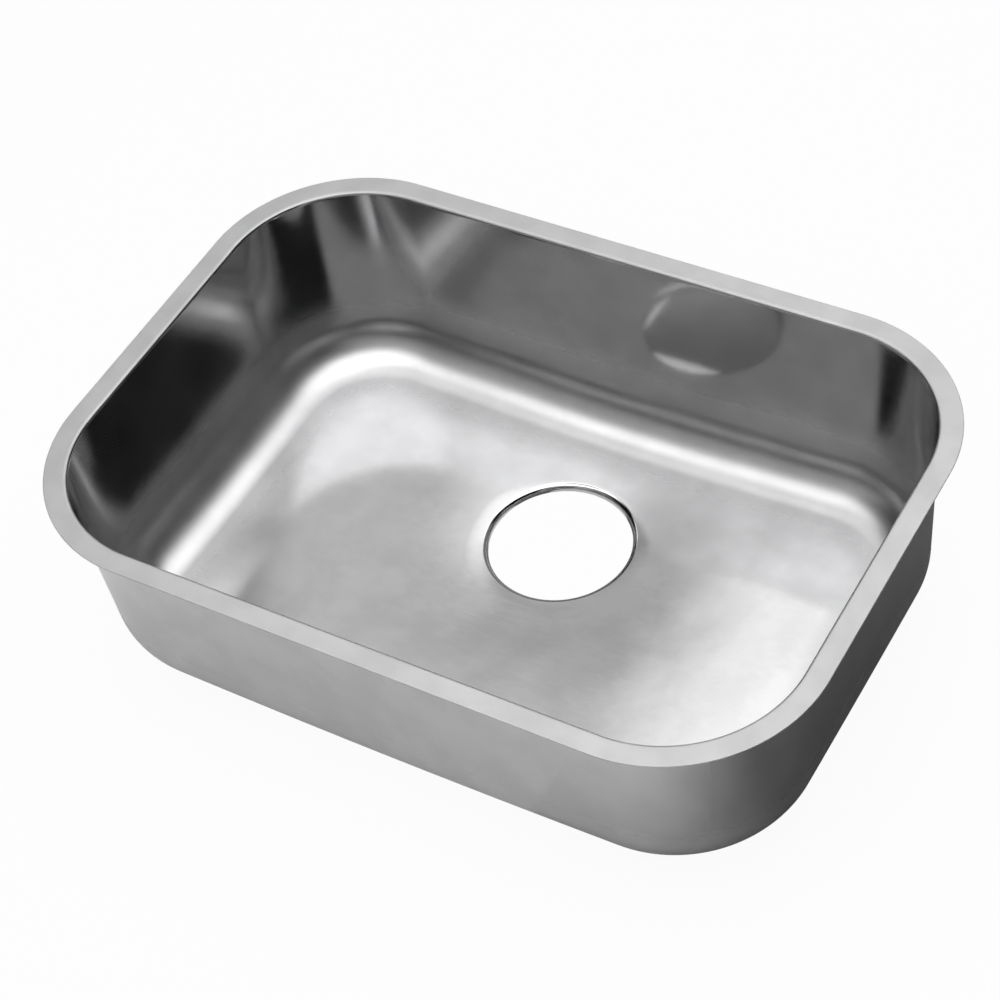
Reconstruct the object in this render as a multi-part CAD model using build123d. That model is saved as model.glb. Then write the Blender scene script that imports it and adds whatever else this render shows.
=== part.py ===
from build123d import *
from math import cos, radians, tan
import os

# Undermount kitchen sink: a bowl drawn from one stainless sheet, with rubber sound pads stuck
# under its floor. Millimetres, +Z up. The origin is the centre of the rim's top face, +X runs
# along the long side, -Y faces the user and the drain lies behind the middle.

# Rim: a flat flange all round, which meets the worktop's underside
RIM_LENGTH = 597.0
RIM_WIDTH = 418.0
FLANGE_WIDTH = 17.0
RIM_BEND_RADIUS = 1.5

# Bowl: drafted walls, a cove all round and a floor that falls to the drain
SHEET_THICKNESS = 1.2
BOWL_DEPTH = 170.0
WALL_DRAFT = 2.1
WALL_CORNER_RADIUS = 97.0
COVE_RADIUS = 36.0
FLOOR_FALL = 3.0

# Drain outlet, whose edge is turned down into a short collar
DRAIN_DIAMETER = 110.0
DRAIN_OFFSET_Y = 57.0
DRAIN_LIP_RADIUS = 3.0
DRAIN_COLLAR_LENGTH = 1.5

# Sound pads, one to each side of the drain and one in front of it
PAD_THICKNESS = 5.0
PAD_CORNER_RADIUS = 14.0
PAD_FILM_GAP = 0.1
PAD_COVE_GAP = 12.0
PAD_DRAIN_GAP = 22.0
PAD_TO_PAD_GAP = 10.0

# Worked out from the sizes above
DRAFT = radians(WALL_DRAFT)
FALL = radians(FLOOR_FALL)
DRAIN_RADIUS = DRAIN_DIAMETER / 2
MOUTH_LENGTH = RIM_LENGTH - 2 * FLANGE_WIDTH
MOUTH_WIDTH = RIM_WIDTH - 2 * FLANGE_WIDTH
RIM_CORNER_RADIUS = WALL_CORNER_RADIUS + FLANGE_WIDTH
PAD_INNER_EDGE = DRAIN_RADIUS + PAD_DRAIN_GAP
PAD_MARGIN = BOWL_DEPTH * tan(DRAFT) + COVE_RADIUS + PAD_COVE_GAP
# How far cutting solids reach past what they cut, and how alike two radii are that match
OVERCUT = 10.0
SAME_RADIUS = 0.01


def walled_block(growth, top):
    """The bowl's hollow with a square foot, grown outwards by growth and cut level at top."""
    foot = -(BOWL_DEPTH + growth + OVERCUT)
    spread = 2 * growth / cos(DRAFT)
    footprint = Pos(0, 0, foot) * Rectangle(MOUTH_LENGTH + spread, MOUTH_WIDTH + spread)
    block = extrude(footprint, top - foot)
    walls = block.faces().filter_by(Axis.Z, reverse=True)
    block = draft(walls, Plane.XY, -WALL_DRAFT)
    corner_edges = block.edges().group_by(Axis.Z)[1]
    return fillet(corner_edges, WALL_CORNER_RADIUS + growth)


def under_floor(growth):
    """All that lies below the floor: its top is a shallow cone that falls to the drain."""
    tip = -(BOWL_DEPTH + DRAIN_RADIUS * tan(FALL) + growth / cos(FALL))
    edge = tip + RIM_LENGTH * tan(FALL)
    foot = -(BOWL_DEPTH + growth + 2 * OVERCUT)
    outline = Polyline((0, tip), (RIM_LENGTH, edge), (RIM_LENGTH, foot), (0, foot), close=True)
    section = make_face(Plane.XZ * outline)
    return Pos(0, DRAIN_OFFSET_Y, 0) * revolve(section, Axis.Z)


def bowl_form(growth, top):
    """The bowl's hollow as a solid, with its coved foot, grown outwards by growth."""
    form = walled_block(growth, top) - under_floor(growth)
    floor = form.faces().filter_by(GeomType.CONE)
    foot_edges = floor.edges().filter_by(GeomType.LINE, reverse=True)
    return fillet(foot_edges, COVE_RADIUS + growth)


def bend_rim(shell):
    """Rounds the bend between flange and wall, above and below the sheet."""
    top_face = shell.faces().sort_by(Axis.Z)[-1]
    shell = fillet(top_face.inner_wires()[0].edges(), RIM_BEND_RADIUS + SHEET_THICKNESS)
    level = shell.faces().filter_by(Axis.Z).filter_by(GeomType.PLANE)
    underside = level.sort_by(Axis.Z)[0]
    return fillet(underside.inner_wires()[0].edges(), RIM_BEND_RADIUS)


def top_ring(shell, radius):
    """The highest circular edge of one radius."""
    circles = shell.edges().filter_by(GeomType.CIRCLE)
    rings = circles.filter_by(lambda edge: abs(edge.radius - radius) < SAME_RADIUS)
    return rings.sort_by(Axis.Z)[-1]


def turn_down_drain(shell):
    """Cuts the drain hole and turns its edge down through a rounded lip into a collar."""
    lip_radius = DRAIN_LIP_RADIUS + SHEET_THICKNESS
    lip_drop = lip_radius * tan(radians(90 - FLOOR_FALL) / 2)
    collar_height = lip_drop + DRAIN_COLLAR_LENGTH
    outer_radius = DRAIN_RADIUS + SHEET_THICKNESS
    seat = Pos(0, DRAIN_OFFSET_Y, -BOWL_DEPTH)
    hang_down = (Align.CENTER, Align.CENTER, Align.MAX)
    shell += seat * Cylinder(outer_radius, collar_height, align=hang_down)
    shell -= seat * Cylinder(DRAIN_RADIUS, 2 * (collar_height + OVERCUT))
    shell = fillet(top_ring(shell, DRAIN_RADIUS), lip_radius)
    return fillet(top_ring(shell, outer_radius), DRAIN_LIP_RADIUS)


def pressed_bowl():
    """Flange, walls, coves, floor and drain collar in one sheet of even thickness."""
    outline = Pos(0, 0, -SHEET_THICKNESS) * RectangleRounded(RIM_LENGTH, RIM_WIDTH, RIM_CORNER_RADIUS)
    flange = extrude(outline, SHEET_THICKNESS)
    shell = flange + bowl_form(SHEET_THICKNESS, 0) - bowl_form(0, OVERCUT)
    return turn_down_drain(bend_rim(shell))


def pad_layer():
    """A rubber layer of pad thickness all round the outside of the bowl."""
    near = SHEET_THICKNESS + PAD_FILM_GAP
    return bowl_form(near + PAD_THICKNESS, 0) - bowl_form(near, OVERCUT)


def sound_pad(layer, left, right, front, back):
    """The part of the rubber layer that lies under one rounded rectangle of the floor."""
    height = COVE_RADIUS + PAD_THICKNESS + 2 * OVERCUT
    center = Pos((left + right) / 2, (front + back) / 2, -(BOWL_DEPTH + PAD_THICKNESS + 2 * OVERCUT))
    outline = center * RectangleRounded(right - left, back - front, PAD_CORNER_RADIUS)
    return layer & extrude(outline, height)


def sound_pads():
    """The pads by name: both sides of the drain, and the front pad between them."""
    layer = pad_layer()
    end = MOUTH_LENGTH / 2 - PAD_MARGIN
    back = MOUTH_WIDTH / 2 - PAD_MARGIN
    middle_edge = PAD_INNER_EDGE - PAD_TO_PAD_GAP
    middle_back = DRAIN_OFFSET_Y - PAD_INNER_EDGE
    return {
        "sound_pad_left": sound_pad(layer, -end, -PAD_INNER_EDGE, -back, back),
        "sound_pad_right": sound_pad(layer, PAD_INNER_EDGE, end, -back, back),
        "sound_pad_front": sound_pad(layer, -middle_edge, middle_edge, -back, middle_back),
    }


def main():
    os.makedirs("parts", exist_ok=True)
    nodes = {"bowl": pressed_bowl(), **sound_pads()}
    for name, solid in nodes.items():
        export_step(solid, f"parts/{name}.step")


if __name__ == "__main__":
    main()
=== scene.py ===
"""Undermount kitchen sink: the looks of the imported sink, and a plain studio round it."""

from math import cos, hypot, pi, radians, sin, tan

import bmesh
import bpy
from bpy.props import FloatProperty, FloatVectorProperty, IntProperty, PointerProperty
from mathutils import Matrix, Quaternion, Vector


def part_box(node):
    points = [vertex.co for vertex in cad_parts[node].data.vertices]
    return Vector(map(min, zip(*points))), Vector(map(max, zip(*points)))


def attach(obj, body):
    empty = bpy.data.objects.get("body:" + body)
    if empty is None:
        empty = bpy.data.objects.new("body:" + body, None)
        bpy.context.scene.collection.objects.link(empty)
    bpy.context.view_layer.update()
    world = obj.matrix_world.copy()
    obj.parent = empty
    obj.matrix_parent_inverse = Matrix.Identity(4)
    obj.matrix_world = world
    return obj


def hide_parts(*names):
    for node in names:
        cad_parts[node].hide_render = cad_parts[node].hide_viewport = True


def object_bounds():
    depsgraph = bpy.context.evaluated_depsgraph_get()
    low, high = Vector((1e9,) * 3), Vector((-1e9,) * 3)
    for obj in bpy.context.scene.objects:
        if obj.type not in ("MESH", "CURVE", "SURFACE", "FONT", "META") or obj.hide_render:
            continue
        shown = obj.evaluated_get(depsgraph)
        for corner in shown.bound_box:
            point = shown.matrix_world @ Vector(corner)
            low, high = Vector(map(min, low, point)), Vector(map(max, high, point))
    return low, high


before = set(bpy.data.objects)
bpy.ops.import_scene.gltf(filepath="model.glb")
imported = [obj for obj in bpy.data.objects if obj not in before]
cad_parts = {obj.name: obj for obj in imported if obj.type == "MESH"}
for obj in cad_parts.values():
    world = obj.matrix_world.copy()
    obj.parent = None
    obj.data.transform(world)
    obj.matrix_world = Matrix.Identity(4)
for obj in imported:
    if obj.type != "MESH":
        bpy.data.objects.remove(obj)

bl_info = {
    "name": "Undermount kitchen sink",
    "version": (1, 0, 0),
    "blender": (4, 5, 0),
    "location": "View3D > Sidebar > Kitchen sink",
    "description": "Presses a satin steel sink bowl, sticks its sound pads on and lights it",
    "category": "Object",
}

CAD_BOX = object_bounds()
BOWL_LOW, BOWL_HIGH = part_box("bowl")
PAD_NODES = ("sound_pad_left", "sound_pad_right", "sound_pad_front")
MM = 0.001


# Properties -----------------------------------------------------------------------------


def length(name, description, default):
    return FloatProperty(
        name=name, description=description, default=default, unit="LENGTH", precision=5
    )


def angle(name, description, default):
    return FloatProperty(name=name, description=description, default=default, subtype="ANGLE")


def amount(name, description, default, low=0.0, high=1.0):
    return FloatProperty(name=name, description=description, default=default, min=low, max=high)


def level(name, description, default):
    return FloatProperty(name=name, description=description, default=default, min=0.0)


def colour(name, description, default):
    return FloatVectorProperty(
        name=name, description=description, default=default, subtype="COLOR", size=3, min=0.0, max=1.0
    )


class SinkBowlSizes(bpy.types.PropertyGroup):
    """Sizes and finish of the pressed bowl."""

    rim_length: length("Rim length", "Outside length of the rim", BOWL_HIGH.x - BOWL_LOW.x)
    rim_width: length("Rim width", "Outside width of the rim", BOWL_HIGH.y - BOWL_LOW.y)
    flange_width: length("Flange width", "Flat flange between rim edge and wall", 17 * MM)
    sheet: length("Sheet", "Thickness of the steel sheet", 1.2 * MM)
    bend_radius: length("Bend radius", "Radius under the bend between flange and wall", 1.5 * MM)
    depth: length("Depth", "From the rim down to the floor at the drain", 170 * MM)
    draft: angle("Draft", "How far the walls lean outwards", radians(2.1))
    corner_radius: length("Corner radius", "Radius of the wall corners", 97 * MM)
    cove_radius: length("Cove radius", "Radius between wall and floor", 36 * MM)
    fall: angle("Floor fall", "Slope of the floor towards the drain", radians(3.0))
    drain_radius: length("Drain radius", "Radius of the drain hole", 55 * MM)
    drain_offset: length("Drain offset", "Distance of the drain behind the middle", 57 * MM)
    lip_radius: length("Lip radius", "Radius under the turned-down drain edge", 3 * MM)
    collar: length("Collar", "Straight length of the drain collar", 1.5 * MM)
    cut_edge: length("Cut edge", "Rounding of the cut sheet edges", 0.3 * MM)
    corner_steps: IntProperty(name="Corner steps", description="Faces round one corner", default=40, min=4)
    steel_colour: colour("Steel colour", "Colour of the bare steel", (0.6, 0.6, 0.605))
    polish: amount("Roughness", "Roughness of the drawn walls", 0.1)
    satin: amount("Satin roughness", "Roughness of the rubbed floor", 0.1)
    cove_satin: amount("Cove roughness", "How much rougher the cove is than floor and walls", 0.24)
    rim_satin: amount("Rim roughness", "Roughness of the flat rim", 0.6)


class SoundPadSizes(bpy.types.PropertyGroup):
    """Sizes and finish of the rubber sound pads."""

    thickness: length("Thickness", "Thickness of a pad", 5 * MM)
    corner_radius: length("Corner radius", "Radius of a pad's corners", 14 * MM)
    edge_radius: length("Edge radius", "Rounding of a pad's outer edge", 1.2 * MM)
    grid: length("Facet size", "Size of the facets that follow the floor", 12 * MM)
    rubber_colour: colour("Rubber colour", "Colour of the rubber", (0.035, 0.035, 0.038))
    roughness: amount("Roughness", "Roughness of the rubber", 0.62)


class SinkStudioSettings(bpy.types.PropertyGroup):
    """Colours and brightnesses of the floor, the cards of painted shade, the light tent and the backdrop.
    """

    floor_colour: colour("Floor colour", "Colour of the pale floor", (0.85, 0.85, 0.85))
    floor_glow: amount("Floor glow", "Share of plain white in the floor as seen", 0.95)
    floor_glow_mirrored: amount("Mirrored glow", "Share of plain white in the mirrored floor", 0.12)
    # The cards' colour is painted shade: dark sheets seen only in reflections, standing in for shadowed
    # floor.
    painted_shade_colour: colour("Card colour", "Colour of the two grey cards", (0.18, 0.18, 0.18))
    tent_radius: length("Tent radius", "Radius of the light tent over the sink", 2.5)
    ceiling_level: level("Ceiling level", "Brightness of the soft light in the ceiling", 2.39)
    overhead_share: amount("Overhead share", "Brightness of the ceiling's dim spot, as a share", 0.12)
    window_level: level("Window level", "Brightness of the soft window at the back", 2.0)
    post_share: amount("Post share", "Brightness of the window's post, as a share", 0.27)
    pane_level: level("Pane level", "Brightness of the pane above the post", 1.68)
    left_pane_level: level("Left pane level", "Brightness of the small pane at the left", 1.42)
    front_level: level("Front level", "Brightness of the soft panel at the front", 0.42)
    dim_level: level("Dim level", "Brightness of the rest of the tent", 0.005)
    backdrop_level: level("Backdrop level", "Brightness of the backdrop as the camera sees it", 0.98)


# Mesh tools -----------------------------------------------------------------------------


def finish_piece(name, bm, material):
    """Makes the piece's object from its bmesh, smooth shaded, in its slot on the root body."""
    mesh = bpy.data.meshes.new(name)
    bm.to_mesh(mesh)
    bm.free()
    mesh.shade_smooth()
    mesh.materials.append(material)
    piece = bpy.data.objects.new(name, mesh)
    bpy.context.scene.collection.objects.link(piece)
    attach(piece, "root")
    return piece


def rounded_plate(bm, half_x, half_y, radius, steps):
    """One flat face, a rectangle with round corners, round the origin."""
    plate = bmesh.ops.create_grid(bm, x_segments=1, y_segments=1, size=1.0)["verts"]
    bmesh.ops.scale(bm, vec=(half_x, half_y, 1.0), verts=plate)
    bmesh.ops.bevel(
        bm, geom=plate, offset=radius, offset_type="OFFSET", affect="VERTICES",
        segments=steps, profile=0.5, material=-1,
    )


def extrude_ring(bm, ring):
    """Grows a strip of faces from a ring of edges; gives back the new ring's edges and vertices."""
    grown = bmesh.ops.extrude_edge_only(bm, edges=ring)["geom"]
    verts = [g for g in grown if isinstance(g, bmesh.types.BMVert)]
    fresh = set(verts)
    edges = [g for g in grown if isinstance(g, bmesh.types.BMEdge) and fresh.issuperset(g.verts)]
    return edges, verts


def round_sharp_edges(bm, least_angle, radius, steps):
    """Rounds every edge that is bent by more than an angle."""
    sharp = [e for e in bm.edges if len(e.link_faces) == 2 and e.calc_face_angle() > least_angle]
    bmesh.ops.bevel(
        bm, geom=sharp, offset=radius, offset_type="OFFSET", affect="EDGES",
        segments=steps, profile=0.5, material=-1,
    )


def floor_fall(point, sizes):
    """How far the sloped floor has risen above its level at the drain edge."""
    reach = hypot(point.x, point.y - sizes.drain_offset) - sizes.drain_radius
    return max(reach, 0.0) * tan(sizes.fall)


# Bowl -----------------------------------------------------------------------------------


class Station:
    """One ring of the bowl's section: how far it lies outside the mouth, corner radius, height."""

    def __init__(self, outset, radius, height):
        self.outset = outset
        self.radius = radius
        self.height = height


def bowl_stations(sizes):
    """The section of the bowl's inner face, from the rim's edge down to the foot of the cove."""
    lean = tan(sizes.draft)
    turn = pi / 2 - sizes.draft
    bend = sizes.bend_radius + sizes.sheet
    bend_start = bend * tan(turn / 2)
    hold = 0.8 * MM
    flange = [sizes.flange_width, sizes.flange_width - hold, bend_start + hold]
    stations = [Station(outset, sizes.corner_radius + outset, 0.0) for outset in flange]
    bend_steps = 8
    for step in range(bend_steps + 1):
        swing = turn * step / bend_steps
        outset = bend_start - bend * sin(swing)
        height = bend * (cos(swing) - 1)
        stations.append(Station(outset, sizes.corner_radius + outset - height * lean, height))
    cove_height = sizes.cove_radius - sizes.depth
    cove_centre = cove_height * lean - sizes.cove_radius / cos(sizes.draft)
    wall_foot = cove_height - sizes.cove_radius * sin(sizes.draft)
    wall_top = stations[-1].height
    wall_steps = (0.01, 0.06, 0.2, 0.4, 0.6, 0.8, 0.94, 0.99)
    for share in wall_steps:
        height = wall_top + (wall_foot - wall_top) * share
        stations.append(Station(height * lean, sizes.corner_radius, height))
    cove_steps = 36
    for step in range(cove_steps + 1):
        swing = sizes.draft + turn * step / cove_steps
        outset = cove_centre + sizes.cove_radius * cos(swing)
        height = cove_height - sizes.cove_radius * sin(swing)
        stations.append(Station(outset, sizes.corner_radius + outset - wall_foot * lean, height))
    return stations


def move_corners(bm, verts, sizes, before, after):
    """Takes a ring's four corner arcs from one station to the next."""
    half_x = sizes.rim_length / 2 - sizes.flange_width - sizes.corner_radius
    half_y = sizes.rim_width / 2 - sizes.flange_width - sizes.corner_radius
    start = before.outset - before.radius + sizes.corner_radius
    end = after.outset - after.radius + sizes.corner_radius
    growth = after.radius / before.radius
    for side in (-1, 1):
        for end_side in (-1, 1):
            corner = [v for v in verts if v.co.x * side > 0 and v.co.y * end_side > 0]
            centre = Vector((side * (half_x + start), end_side * (half_y + start), before.height))
            target = Vector((side * (half_x + end), end_side * (half_y + end), after.height))
            bmesh.ops.translate(bm, vec=-centre, verts=corner)
            bmesh.ops.scale(bm, vec=(growth, growth, 1.0), verts=corner)
            bmesh.ops.translate(bm, vec=target, verts=corner)


def press_walls(bm, sizes):
    """Flange, bend, walls and cove, ring by ring; gives back the edges at the foot of the cove."""
    stations = bowl_stations(sizes)
    half_x, half_y = sizes.rim_length / 2, sizes.rim_width / 2
    rounded_plate(bm, half_x, half_y, stations[0].radius, sizes.corner_steps)
    ring = bm.edges[:]
    bmesh.ops.delete(bm, geom=bm.faces[:], context="FACES_ONLY")
    for before, after in zip(stations, stations[1:]):
        ring, verts = extrude_ring(bm, ring)
        move_corners(bm, verts, sizes, before, after)
    long_sides = {"x": 24, "y": 12}
    shortest_side = 0.1
    for axis, steps in long_sides.items():
        sides = [
            e for e in bm.edges
            if abs(getattr(e.verts[0].co - e.verts[1].co, axis)) > shortest_side
        ]
        bmesh.ops.subdivide_edges(bm, edges=sides, cuts=steps - 1, use_grid_fill=True)
    foot_height = stations[-1].height
    return [e for e in bm.edges if e.is_boundary and e.verts[0].co.z < foot_height / 2]


def lay_floor(bm, sizes, foot):
    """The floor from the cove's foot to the drain, with the turned-down lip and its collar."""
    centre = Vector((0.0, sizes.drain_offset, 0.0))
    lip = sizes.lip_radius + sizes.sheet
    ring, verts = extrude_ring(bm, foot)
    for vert in verts:
        spoke = Vector((vert.co.x, vert.co.y - centre.y, 0.0)).normalized()
        rim = centre + spoke * (sizes.drain_radius + lip)
        vert.co.xy = rim.xy
    spokes = [e for v in verts for e in v.link_edges if e not in ring]
    floor_rings = 16
    bmesh.ops.subdivide_edges(bm, edges=spokes, cuts=floor_rings, use_grid_fill=True)
    lip_drop = lip * tan((pi / 2 - sizes.fall) / 2)
    about_drain = Matrix.Translation(-centre)
    reach = sizes.drain_radius + lip
    drop = 0.0
    lip_steps = 8
    for step in range(1, lip_steps + 1):
        ring, verts = extrude_ring(bm, ring)
        swing = pi / 2 * step / lip_steps
        new_reach = sizes.drain_radius + lip * (1 - sin(swing))
        new_drop = lip_drop * (1 - cos(swing))
        growth = new_reach / reach
        bmesh.ops.scale(bm, vec=(growth, growth, 1.0), space=about_drain, verts=verts)
        bmesh.ops.translate(bm, vec=(0.0, 0.0, drop - new_drop), verts=verts)
        reach, drop = new_reach, new_drop
    collar_shares = (0.35, 0.65)
    for share in collar_shares:
        ring, verts = extrude_ring(bm, ring)
        bmesh.ops.translate(bm, vec=(0.0, 0.0, -sizes.collar * share), verts=verts)


def slope_floor(bm, sizes):
    """Raises the floor and cove to the floor's fall, and takes the walls along, less and less."""
    wall_foot = sizes.cove_radius - sizes.depth
    for vert in bm.verts:
        share = min(vert.co.z / wall_foot, 1.0)
        vert.co.z += share * floor_fall(vert.co, sizes)


def bowl_mesh(sizes):
    """The whole bowl as one closed sheet of even thickness."""
    bm = bmesh.new()
    foot = press_walls(bm, sizes)
    lay_floor(bm, sizes, foot)
    slope_floor(bm, sizes)
    same_place = 0.01 * MM
    bmesh.ops.remove_doubles(bm, verts=bm.verts[:], dist=same_place)
    bmesh.ops.recalc_face_normals(bm, faces=bm.faces[:])
    upwards = sum(face.normal.z * face.calc_area() for face in bm.faces)
    if upwards < 0:
        bmesh.ops.reverse_faces(bm, faces=bm.faces[:])
    bmesh.ops.solidify(bm, geom=bm.faces[:], thickness=sizes.sheet)
    least_bend = radians(60)
    round_sharp_edges(bm, least_bend, sizes.cut_edge, 2)
    return bm


# Sound pads -----------------------------------------------------------------------------


def pad_mesh(low, high, pad, sizes):
    """A rubber slab with round corners and a soft outer edge, laid along the sloped floor."""
    bm = bmesh.new()
    half = (high - low) / 2
    middle = (high + low) / 2
    corner_steps = 10
    rounded_plate(bm, half.x, half.y, pad.corner_radius, corner_steps)
    thick = bmesh.ops.extrude_face_region(bm, geom=bm.faces[:])["geom"]
    lowered = [g for g in thick if isinstance(g, bmesh.types.BMVert)]
    bmesh.ops.translate(bm, vec=(0.0, 0.0, -pad.thickness), verts=lowered)
    bmesh.ops.recalc_face_normals(bm, faces=bm.faces[:])
    outer = [e for e in bm.edges if all(v.co.z < -pad.thickness / 2 for v in e.verts)]
    bmesh.ops.bevel(
        bm, geom=outer, offset=pad.edge_radius, offset_type="OFFSET", affect="EDGES",
        segments=4, profile=0.5, material=-1,
    )
    on_plane = 0.001 * MM
    for axis, reach in ((Vector((1, 0, 0)), half.x), (Vector((0, 1, 0)), half.y)):
        cuts = max(int(2 * reach / pad.grid), 1)
        for cut in range(1, cuts):
            place = axis * (2 * reach * cut / cuts - reach)
            whole = bm.verts[:] + bm.edges[:] + bm.faces[:]
            bmesh.ops.bisect_plane(bm, geom=whole, plane_co=place, plane_no=axis, dist=on_plane)
    bmesh.ops.translate(bm, vec=(middle.x, middle.y, 0.0), verts=bm.verts[:])
    rise = [floor_fall(v.co, sizes) for v in bm.verts]
    for vert, height in zip(bm.verts, rise):
        vert.co.z += height
    lowest = min(v.co.z for v in bm.verts)
    bmesh.ops.translate(bm, vec=(0.0, 0.0, low.z - lowest), verts=bm.verts[:])
    return bm


# Materials ------------------------------------------------------------------------------


class Nodes:
    """A material's or world's node tree, with short ways to add and link nodes."""

    def __init__(self, owner):
        owner.use_nodes = True
        self.tree = owner.node_tree
        self.tree.nodes.clear()

    def add(self, kind, **settings):
        node = self.tree.nodes.new(kind)
        for name, value in settings.items():
            setattr(node, name, value)
        return node

    def link(self, source, target):
        self.tree.links.new(source, target)

    def math(self, operation, first, second=None):
        node = self.add("ShaderNodeMath", operation=operation)
        for socket, value in zip(node.inputs, (first, second)):
            if hasattr(value, "links"):
                self.link(value, socket)
            elif value is not None:
                socket.default_value = value
        return node.outputs[0]

    def remap(self, value, low, high, new_low, new_high):
        node = self.add("ShaderNodeMapRange", interpolation_type="SMOOTHSTEP")
        self.link(value, node.inputs["Value"])
        for name, number in zip(
            ("From Min", "From Max", "To Min", "To Max"), (low, high, new_low, new_high)
        ):
            node.inputs[name].default_value = number
        return node.outputs["Result"]

    def place(self, scale):
        """Object coordinates, stretched."""
        coordinates = self.add("ShaderNodeTexCoord")
        mapping = self.add("ShaderNodeMapping")
        mapping.inputs["Scale"].default_value = scale
        self.link(coordinates.outputs["Object"], mapping.inputs["Vector"])
        return mapping.outputs["Vector"]

    def inset(self, half_x, half_y, radius):
        """How far a point lies inside a rectangle with round corners, seen from above."""
        flat = self.add("ShaderNodeSeparateXYZ")
        self.link(self.place((1.0, 1.0, 1.0)), flat.inputs["Vector"])
        along = self.math("SUBTRACT", self.math("ABSOLUTE", flat.outputs["X"]), half_x - radius)
        across = self.math("SUBTRACT", self.math("ABSOLUTE", flat.outputs["Y"]), half_y - radius)
        corner = self.add("ShaderNodeCombineXYZ")
        self.link(self.math("MAXIMUM", along, 0.0), corner.inputs["X"])
        self.link(self.math("MAXIMUM", across, 0.0), corner.inputs["Y"])
        reach = self.add("ShaderNodeVectorMath", operation="LENGTH")
        self.link(corner.outputs["Vector"], reach.inputs[0])
        side = self.math("MINIMUM", self.math("MAXIMUM", along, across), 0.0)
        return self.math("SUBTRACT", radius, self.math("ADD", reach.outputs["Value"], side))

    def noise(self, scale, detail, stretch=(1.0, 1.0, 1.0)):
        node = self.add("ShaderNodeTexNoise")
        node.inputs["Scale"].default_value = scale
        node.inputs["Detail"].default_value = detail
        self.link(self.place(stretch), node.inputs["Vector"])
        return node.outputs["Fac"]

    def mix(self, share, first, second):
        node = self.add("ShaderNodeMix", data_type="FLOAT")
        self.link(share, node.inputs[0])
        self.link(first, node.inputs[2])
        self.link(second, node.inputs[3])
        return node.outputs[0]

    def bump(self, height, distance, strength, under=None):
        node = self.add("ShaderNodeBump")
        node.inputs["Strength"].default_value = strength
        node.inputs["Distance"].default_value = distance
        self.link(height, node.inputs["Height"])
        if under is not None:
            self.link(under, node.inputs["Normal"])
        return node.outputs["Normal"]


def satin_steel(sizes):
    """Drawn stainless sheet: soft waves of the pressing, fine rubbing lines, mottled gloss."""
    material = bpy.data.materials.new("satin_steel")
    nodes = Nodes(material)
    steel = nodes.add("ShaderNodeBsdfPrincipled")
    steel.inputs["Metallic"].default_value = 1.0
    output = nodes.add("ShaderNodeOutputMaterial")
    nodes.link(steel.outputs["BSDF"], output.inputs["Surface"])

    along_floor = nodes.noise(1.0, 3.0, (60.0, 2400.0, 2400.0))
    along_wall = nodes.noise(1.0, 3.0, (50.0, 50.0, 2600.0))
    facing = nodes.add("ShaderNodeSeparateXYZ")
    geometry = nodes.add("ShaderNodeNewGeometry")
    nodes.link(geometry.outputs["Normal"], facing.inputs["Vector"])
    level_share = nodes.remap(nodes.math("ABSOLUTE", facing.outputs["Z"]), 0.6, 0.95, 0.0, 1.0)
    lines = nodes.mix(level_share, along_wall, along_floor)
    cloud = nodes.noise(9.0, 3.0)
    mottle = nodes.noise(34.0, 4.0)

    tint = nodes.add("ShaderNodeMix", data_type="RGBA")
    deep = [channel * 0.93 for channel in sizes.steel_colour]
    tint.inputs["A"].default_value = (*deep, 1.0)
    tint.inputs["B"].default_value = (*sizes.steel_colour, 1.0)
    nodes.link(nodes.remap(mottle, 0.35, 0.65, 0.0, 1.0), tint.inputs["Factor"])
    nodes.link(tint.outputs["Result"], steel.inputs["Base Color"])

    height = nodes.add("ShaderNodeSeparateXYZ")
    nodes.link(nodes.place((1.0, 1.0, 1.0)), height.inputs["Vector"])
    under_rim, rim_top = -1.5 * MM, -0.2 * MM
    rim_gain = sizes.rim_satin - sizes.satin
    on_rim = nodes.remap(height.outputs["Z"], under_rim, rim_top, 0.0, rim_gain)
    fully_rough, still_polished = -124 * MM, -90 * MM
    into_cove = nodes.remap(
        height.outputs["Z"], fully_rough, still_polished, sizes.cove_satin, 0.0
    )
    mouth = (sizes.rim_length / 2 - sizes.flange_width, sizes.rim_width / 2 - sizes.flange_width)
    from_wall = nodes.inset(*mouth, sizes.corner_radius)
    cove_foot, flat_floor = 36 * MM, 74 * MM
    out_of_cove = nodes.remap(from_wall, cove_foot, flat_floor, 1.0, 0.0)
    satin = nodes.math("ADD", nodes.remap(level_share, 0.0, 1.0, sizes.polish, sizes.satin), on_rim)
    satin = nodes.math("ADD", satin, nodes.math("MULTIPLY", into_cove, out_of_cove))
    patch = nodes.remap(cloud, 0.3, 0.7, -0.02, 0.03)
    streak = nodes.remap(lines, 0.3, 0.7, -0.02, 0.02)
    mottled = nodes.math("ADD", nodes.math("ADD", satin, patch), streak)
    nodes.link(mottled, steel.inputs["Roughness"])

    waves = nodes.bump(nodes.noise(7.0, 1.0), 0.0012, 1.0)
    ripples = nodes.bump(nodes.noise(26.0, 2.0), 0.00005, 1.0, waves)
    grain = nodes.bump(lines, 0.000004, 1.0, ripples)
    nodes.link(grain, steel.inputs["Normal"])
    return material


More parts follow.
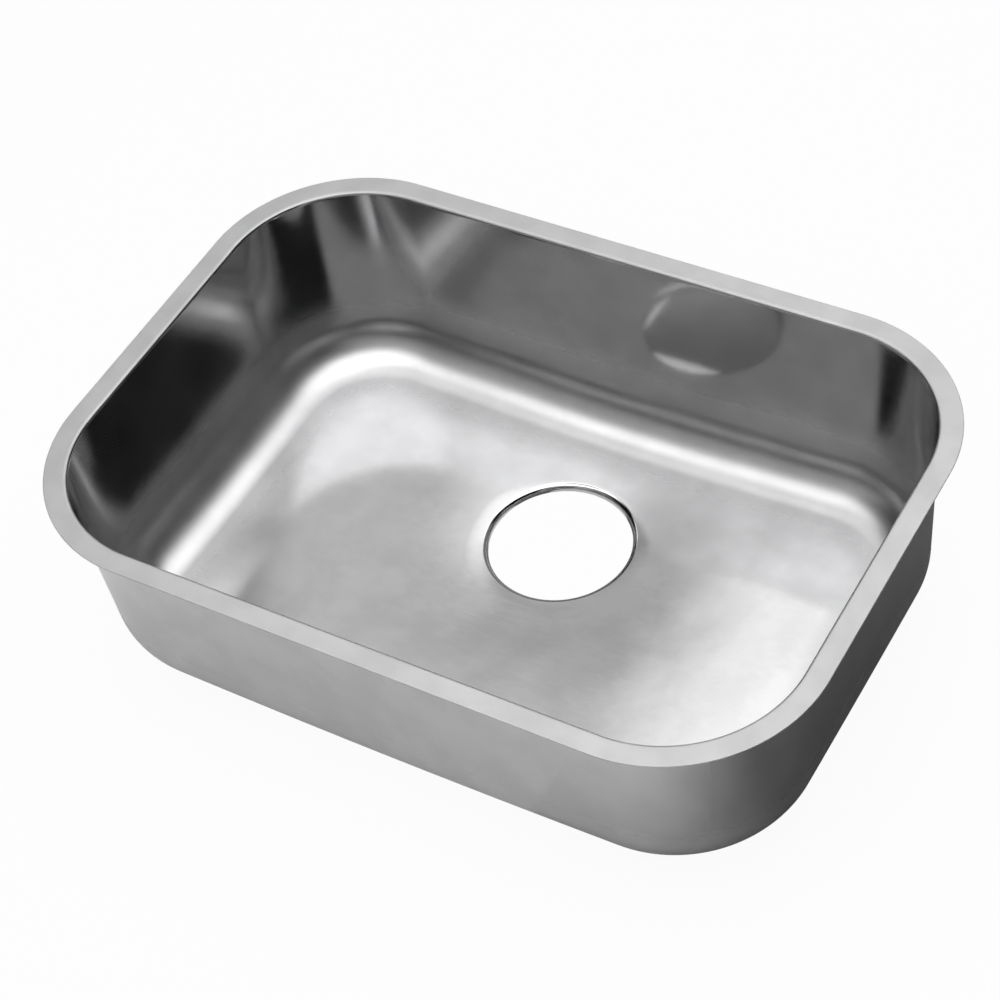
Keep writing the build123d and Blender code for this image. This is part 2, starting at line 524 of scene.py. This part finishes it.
def pad_rubber(pad):
    """Matt black rubber sheet with a fine pebbled skin and faint dusty patches."""
    material = bpy.data.materials.new("pad_rubber")
    nodes = Nodes(material)
    rubber = nodes.add("ShaderNodeBsdfPrincipled")
    output = nodes.add("ShaderNodeOutputMaterial")
    nodes.link(rubber.outputs["BSDF"], output.inputs["Surface"])
    dust = nodes.noise(22.0, 5.0)
    pebbles = nodes.add("ShaderNodeTexVoronoi")
    pebbles.inputs["Scale"].default_value = 900.0
    nodes.link(nodes.place((1.0, 1.0, 1.0)), pebbles.inputs["Vector"])

    tint = nodes.add("ShaderNodeMix", data_type="RGBA")
    worn = [channel * 1.9 + 0.01 for channel in pad.rubber_colour]
    tint.inputs["A"].default_value = (*pad.rubber_colour, 1.0)
    tint.inputs["B"].default_value = (*worn, 1.0)
    nodes.link(nodes.remap(dust, 0.45, 0.8, 0.0, 1.0), tint.inputs["Factor"])
    nodes.link(tint.outputs["Result"], rubber.inputs["Base Color"])
    rough = nodes.remap(dust, 0.3, 0.7, pad.roughness - 0.06, pad.roughness + 0.1)
    nodes.link(rough, rubber.inputs["Roughness"])
    skin = nodes.bump(pebbles.outputs["Distance"], 0.00012, 0.6)
    nodes.link(nodes.bump(nodes.noise(60.0, 3.0), 0.0002, 0.5, skin), rubber.inputs["Normal"])
    return material


def pale_floor(studio):
    """Pale matt floor; what is seen of it, straight or mirrored, leans towards plain white."""
    material = bpy.data.materials.new("pale_floor")
    nodes = Nodes(material)
    paint = nodes.add("ShaderNodeBsdfDiffuse")
    paint.inputs["Color"].default_value = (*studio.floor_colour, 1.0)
    white = nodes.add("ShaderNodeEmission")
    path = nodes.add("ShaderNodeLightPath")
    seen = nodes.math("MULTIPLY", path.outputs["Is Camera Ray"], studio.floor_glow)
    through = nodes.math("MULTIPLY", path.outputs["Is Transmission Ray"], studio.floor_glow)
    mirrored = nodes.math("MULTIPLY", path.outputs["Is Glossy Ray"], studio.floor_glow_mirrored)
    share = nodes.math("MAXIMUM", nodes.math("MAXIMUM", seen, through), mirrored)
    blend = nodes.add("ShaderNodeMixShader")
    nodes.link(share, blend.inputs[0])
    nodes.link(paint.outputs["BSDF"], blend.inputs[1])
    nodes.link(white.outputs["Emission"], blend.inputs[2])
    output = nodes.add("ShaderNodeOutputMaterial")
    nodes.link(blend.outputs["Shader"], output.inputs["Surface"])
    return material


def painted_shade_card(studio):
    """Dark card of painted shade, seen only in reflections: it stands in for the floor shaded by the sink,
    for the right wall and the drain to mirror, and thins out towards the front.
    """
    material = bpy.data.materials.new("painted_shade_card")
    nodes = Nodes(material)
    # The painted shade fades out towards the front, so that its edge doesn't show in the reflections.
    towards_back = (0.6, 1.0, 0.0)
    bare, covered = -0.22, 0.1
    across = nodes.add("ShaderNodeVectorMath", operation="DOT_PRODUCT")
    across.inputs[1].default_value = towards_back
    nodes.link(nodes.place((1.0, 1.0, 1.0)), across.inputs[0])
    shade_paint = nodes.add("ShaderNodeBsdfDiffuse")
    shade_paint.inputs["Color"].default_value = (*studio.painted_shade_colour, 1.0)
    gauze = nodes.add("ShaderNodeBsdfTransparent")
    blend = nodes.add("ShaderNodeMixShader")
    nodes.link(nodes.remap(across.outputs["Value"], bare, covered, 0.0, 1.0), blend.inputs[0])
    nodes.link(gauze.outputs["BSDF"], blend.inputs[1])
    nodes.link(shade_paint.outputs["BSDF"], blend.inputs[2])
    output = nodes.add("ShaderNodeOutputMaterial")
    nodes.link(blend.outputs["Shader"], output.inputs["Surface"])
    return material


class SoftPanel:
    """A round soft patch of the tent's cloth, in degrees as seen from the sink's origin.

    It hangs at an azimuth, counted from +X, and an elevation above the floor. It is even out to
    the angle full from its middle, and has faded away at the angle gone.
    """

    def __init__(self, azimuth, elevation, full, gone):
        turn, rise = radians(azimuth), radians(elevation)
        self.towards = Vector((cos(turn) * cos(rise), sin(turn) * cos(rise), sin(rise)))
        self.full = radians(full)
        self.gone = radians(gone)

    def shine(self, nodes, direction, middle, outside=0.0):
        """A level that passes softly from the panel's middle to outside it."""
        facing = nodes.add("ShaderNodeVectorMath", operation="DOT_PRODUCT")
        facing.inputs[1].default_value = self.towards
        nodes.link(direction, facing.inputs[0])
        return nodes.remap(
            facing.outputs["Value"], cos(self.gone), cos(self.full), outside, middle
        )


CEILING = SoftPanel(azimuth=0.0, elevation=90.0, full=32.6, gone=40.7)
OVERHEAD_SPOT = SoftPanel(azimuth=160.3, elevation=69.4, full=0.0, gone=12.1)
BACK_WINDOW = SoftPanel(azimuth=105.5, elevation=46.6, full=13.8, gone=23.8)
WINDOW_POST = SoftPanel(azimuth=118.8, elevation=43.3, full=1.3, gone=14.4)
WINDOW_PANE = SoftPanel(azimuth=113.9, elevation=51.7, full=3.8, gone=11.8)
LEFT_PANE = SoftPanel(azimuth=144.3, elevation=36.5, full=4.8, gone=12.1)
FRONT_PANEL = SoftPanel(azimuth=269.7, elevation=-5.0, full=59.5, gone=64.5)


def lit_cloth(studio):
    """The tent's cloth: dim, with a soft ceiling, a soft window at the back and a front panel."""
    material = bpy.data.materials.new("lit_cloth")
    nodes = Nodes(material)
    direction = nodes.add("ShaderNodeVectorMath", operation="NORMALIZE")
    nodes.link(nodes.place((1.0, 1.0, 1.0)), direction.inputs[0])
    outwards = direction.outputs["Vector"]

    ceiling = CEILING.shine(nodes, outwards, studio.ceiling_level)
    overhead = OVERHEAD_SPOT.shine(nodes, outwards, studio.overhead_share, 1.0)
    window = BACK_WINDOW.shine(nodes, outwards, studio.window_level, studio.dim_level)
    post = WINDOW_POST.shine(nodes, outwards, studio.post_share, 1.0)
    light = nodes.math("MULTIPLY", ceiling, overhead)
    for other in (
        nodes.math("MULTIPLY", window, post),
        WINDOW_PANE.shine(nodes, outwards, studio.pane_level),
        LEFT_PANE.shine(nodes, outwards, studio.left_pane_level),
        FRONT_PANEL.shine(nodes, outwards, studio.front_level),
    ):
        light = nodes.math("MAXIMUM", light, other)
    glow = nodes.add("ShaderNodeEmission")
    nodes.link(light, glow.inputs["Strength"])
    output = nodes.add("ShaderNodeOutputMaterial")
    nodes.link(glow.outputs["Emission"], output.inputs["Surface"])
    return material


def white_world(studio):
    """A white backdrop beyond the floor, which lights nothing."""
    world = bpy.data.worlds.new("studio_world")
    bpy.context.scene.world = world
    nodes = Nodes(world)
    path = nodes.add("ShaderNodeLightPath")
    seen = nodes.math("MAXIMUM", path.outputs["Is Camera Ray"], path.outputs["Is Transmission Ray"])
    background = nodes.add("ShaderNodeBackground")
    nodes.link(nodes.math("MULTIPLY", seen, studio.backdrop_level), background.inputs["Strength"])
    output = nodes.add("ShaderNodeOutputWorld")
    nodes.link(background.outputs["Background"], output.inputs["Surface"])


# Studio ---------------------------------------------------------------------------------


def stage_object(name, bm, material):
    """Makes a part of the studio, which isn't part of the sink, from its bmesh."""
    mesh = bpy.data.meshes.new(name)
    bm.to_mesh(mesh)
    bm.free()
    mesh.materials.append(material)
    stand = bpy.data.objects.new(name, mesh)
    bpy.context.scene.collection.objects.link(stand)
    return stand


def stage_sheet(name, centre, half_size, material):
    """A flat level sheet of the studio."""
    bm = bmesh.new()
    bmesh.ops.create_grid(bm, x_segments=1, y_segments=1, size=1.0)
    bmesh.ops.scale(bm, vec=(*half_size, 1.0), verts=bm.verts[:])
    bmesh.ops.translate(bm, vec=centre, verts=bm.verts[:])
    return stage_object(name, bm, material)


def light_tent(studio, floor_height):
    """A half globe of lit cloth over the sink, which the camera looks through."""
    bm = bmesh.new()
    bmesh.ops.create_uvsphere(bm, u_segments=64, v_segments=32, radius=studio.tent_radius)
    whole = bm.verts[:] + bm.edges[:] + bm.faces[:]
    foot, down = (0.0, 0.0, floor_height), (0.0, 0.0, -1.0)
    bmesh.ops.bisect_plane(bm, geom=whole, plane_co=foot, plane_no=down, clear_outer=True)
    tent = stage_object("light_tent", bm, lit_cloth(studio))
    tent.visible_camera = False
    tent.visible_shadow = False
    tent.data.materials[0].cycles.emission_sampling = "NONE"


def photo_camera():
    """The photograph's own viewpoint, found from the rim, the bowl's outline and the drain."""
    place = Vector((0.76575, -1.00794, 1.34384))
    aim = Vector((0.03061, -0.04659, 0.0)) - place
    roll = radians(-10.61)
    camera = bpy.data.cameras.new("photo_camera")
    camera.lens = 95.75
    camera.sensor_width = 36.0
    stand = bpy.data.objects.new("photo_camera", camera)
    stand.location = place
    turn = aim.to_track_quat("-Z", "Y") @ Quaternion((0.0, 0.0, 1.0), roll)
    stand.rotation_euler = turn.to_euler()
    bpy.context.scene.collection.objects.link(stand)
    bpy.context.scene.camera = stand


# Operators ------------------------------------------------------------------------------


class SINK_OT_press_bowl(bpy.types.Operator):
    """Presses the steel bowl with its flange, cove, sloped floor and drain collar"""

    bl_idname = "sink.press_bowl"
    bl_label = "Press bowl"

    def execute(self, context):
        sizes = context.scene.sink_bowl
        bowl = finish_piece("pressed_bowl", bowl_mesh(sizes), satin_steel(sizes))
        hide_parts("bowl")
        return {"FINISHED"}


class SINK_OT_stick_pads(bpy.types.Operator):
    """Sticks the rubber sound pads under the floor"""

    bl_idname = "sink.stick_pads"
    bl_label = "Stick sound pads"

    def execute(self, context):
        sizes = context.scene.sink_bowl
        pad = context.scene.sink_pads
        rubber = pad_rubber(pad)
        for node in PAD_NODES:
            low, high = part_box(node)
            slab = pad_mesh(low, high, pad, sizes)
            piece = finish_piece(f"rubber_{node}", slab, rubber)
            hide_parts(node)
        return {"FINISHED"}


class SINK_OT_set_studio(bpy.types.Operator):
    """Lays the floor and the cards of painted shade, puts up the light tent and sets the camera"""

    bl_idname = "sink.set_studio"
    bl_label = "Set studio"

    def execute(self, context):
        studio = context.scene.sink_studio
        floor_gap, card_lift, reach = 0.2 * MM, 0.1 * MM, 12.0
        floor_height = CAD_BOX[0].z - floor_gap
        stage_sheet("studio_floor", (0.0, 0.0, floor_height), (reach, reach), pale_floor(studio))
        # Two dark cards of painted shade, seen only in mirror rays: the side card stands in for the floor
        # shaded by the sink at its right, which the right wall mirrors; the drain card stands in for a
        # dark floor under the drain, which the walls mirror through the hole.
        grey = painted_shade_card(studio)
        card_height = floor_height + card_lift
        side_shade_card = stage_sheet("side_shade_card", (0.35, -0.065, card_height), (0.25, 0.285), grey)
        drain_shade_card = stage_sheet("drain_shade_card", (0.01, 0.044, card_height), (0.06, 0.056), grey)
        # Hidden from the camera, diffuse rays and shadows, the cards show only as painted shade in
        # reflections.
        for card in (side_shade_card, drain_shade_card):
            card.visible_camera = False
            card.visible_diffuse = False
            card.visible_shadow = False
        light_tent(studio, floor_height)
        white_world(studio)
        photo_camera()
        context.scene.view_settings.view_transform = "Standard"
        return {"FINISHED"}


class SINK_PT_panel(bpy.types.Panel):
    """Lists the sink's makers"""

    bl_idname = "SINK_PT_panel"
    bl_label = "Kitchen sink"
    bl_space_type = "VIEW_3D"
    bl_region_type = "UI"
    bl_category = "Kitchen sink"

    def draw(self, context):
        for operator in OPERATORS:
            self.layout.operator(operator.bl_idname)
        for group in SETTINGS:
            box = self.layout.box()
            settings = getattr(context.scene, group)
            for name in settings.__annotations__:
                box.prop(settings, name)


OPERATORS = (SINK_OT_press_bowl, SINK_OT_stick_pads, SINK_OT_set_studio)
SETTINGS = {
    "sink_bowl": SinkBowlSizes,
    "sink_pads": SoundPadSizes,
    "sink_studio": SinkStudioSettings,
}
CLASSES = (*SETTINGS.values(), *OPERATORS, SINK_PT_panel)


def register():
    for cls in CLASSES:
        bpy.utils.register_class(cls)
    for name, group in SETTINGS.items():
        setattr(bpy.types.Scene, name, PointerProperty(type=group))


def unregister():
    for name in SETTINGS:
        delattr(bpy.types.Scene, name)
    for cls in reversed(CLASSES):
        bpy.utils.unregister_class(cls)


def main():
    register()
    bpy.ops.sink.press_bowl()
    bpy.ops.sink.stick_pads()
    bpy.ops.sink.set_studio()


if __name__ == "__main__":
    main()
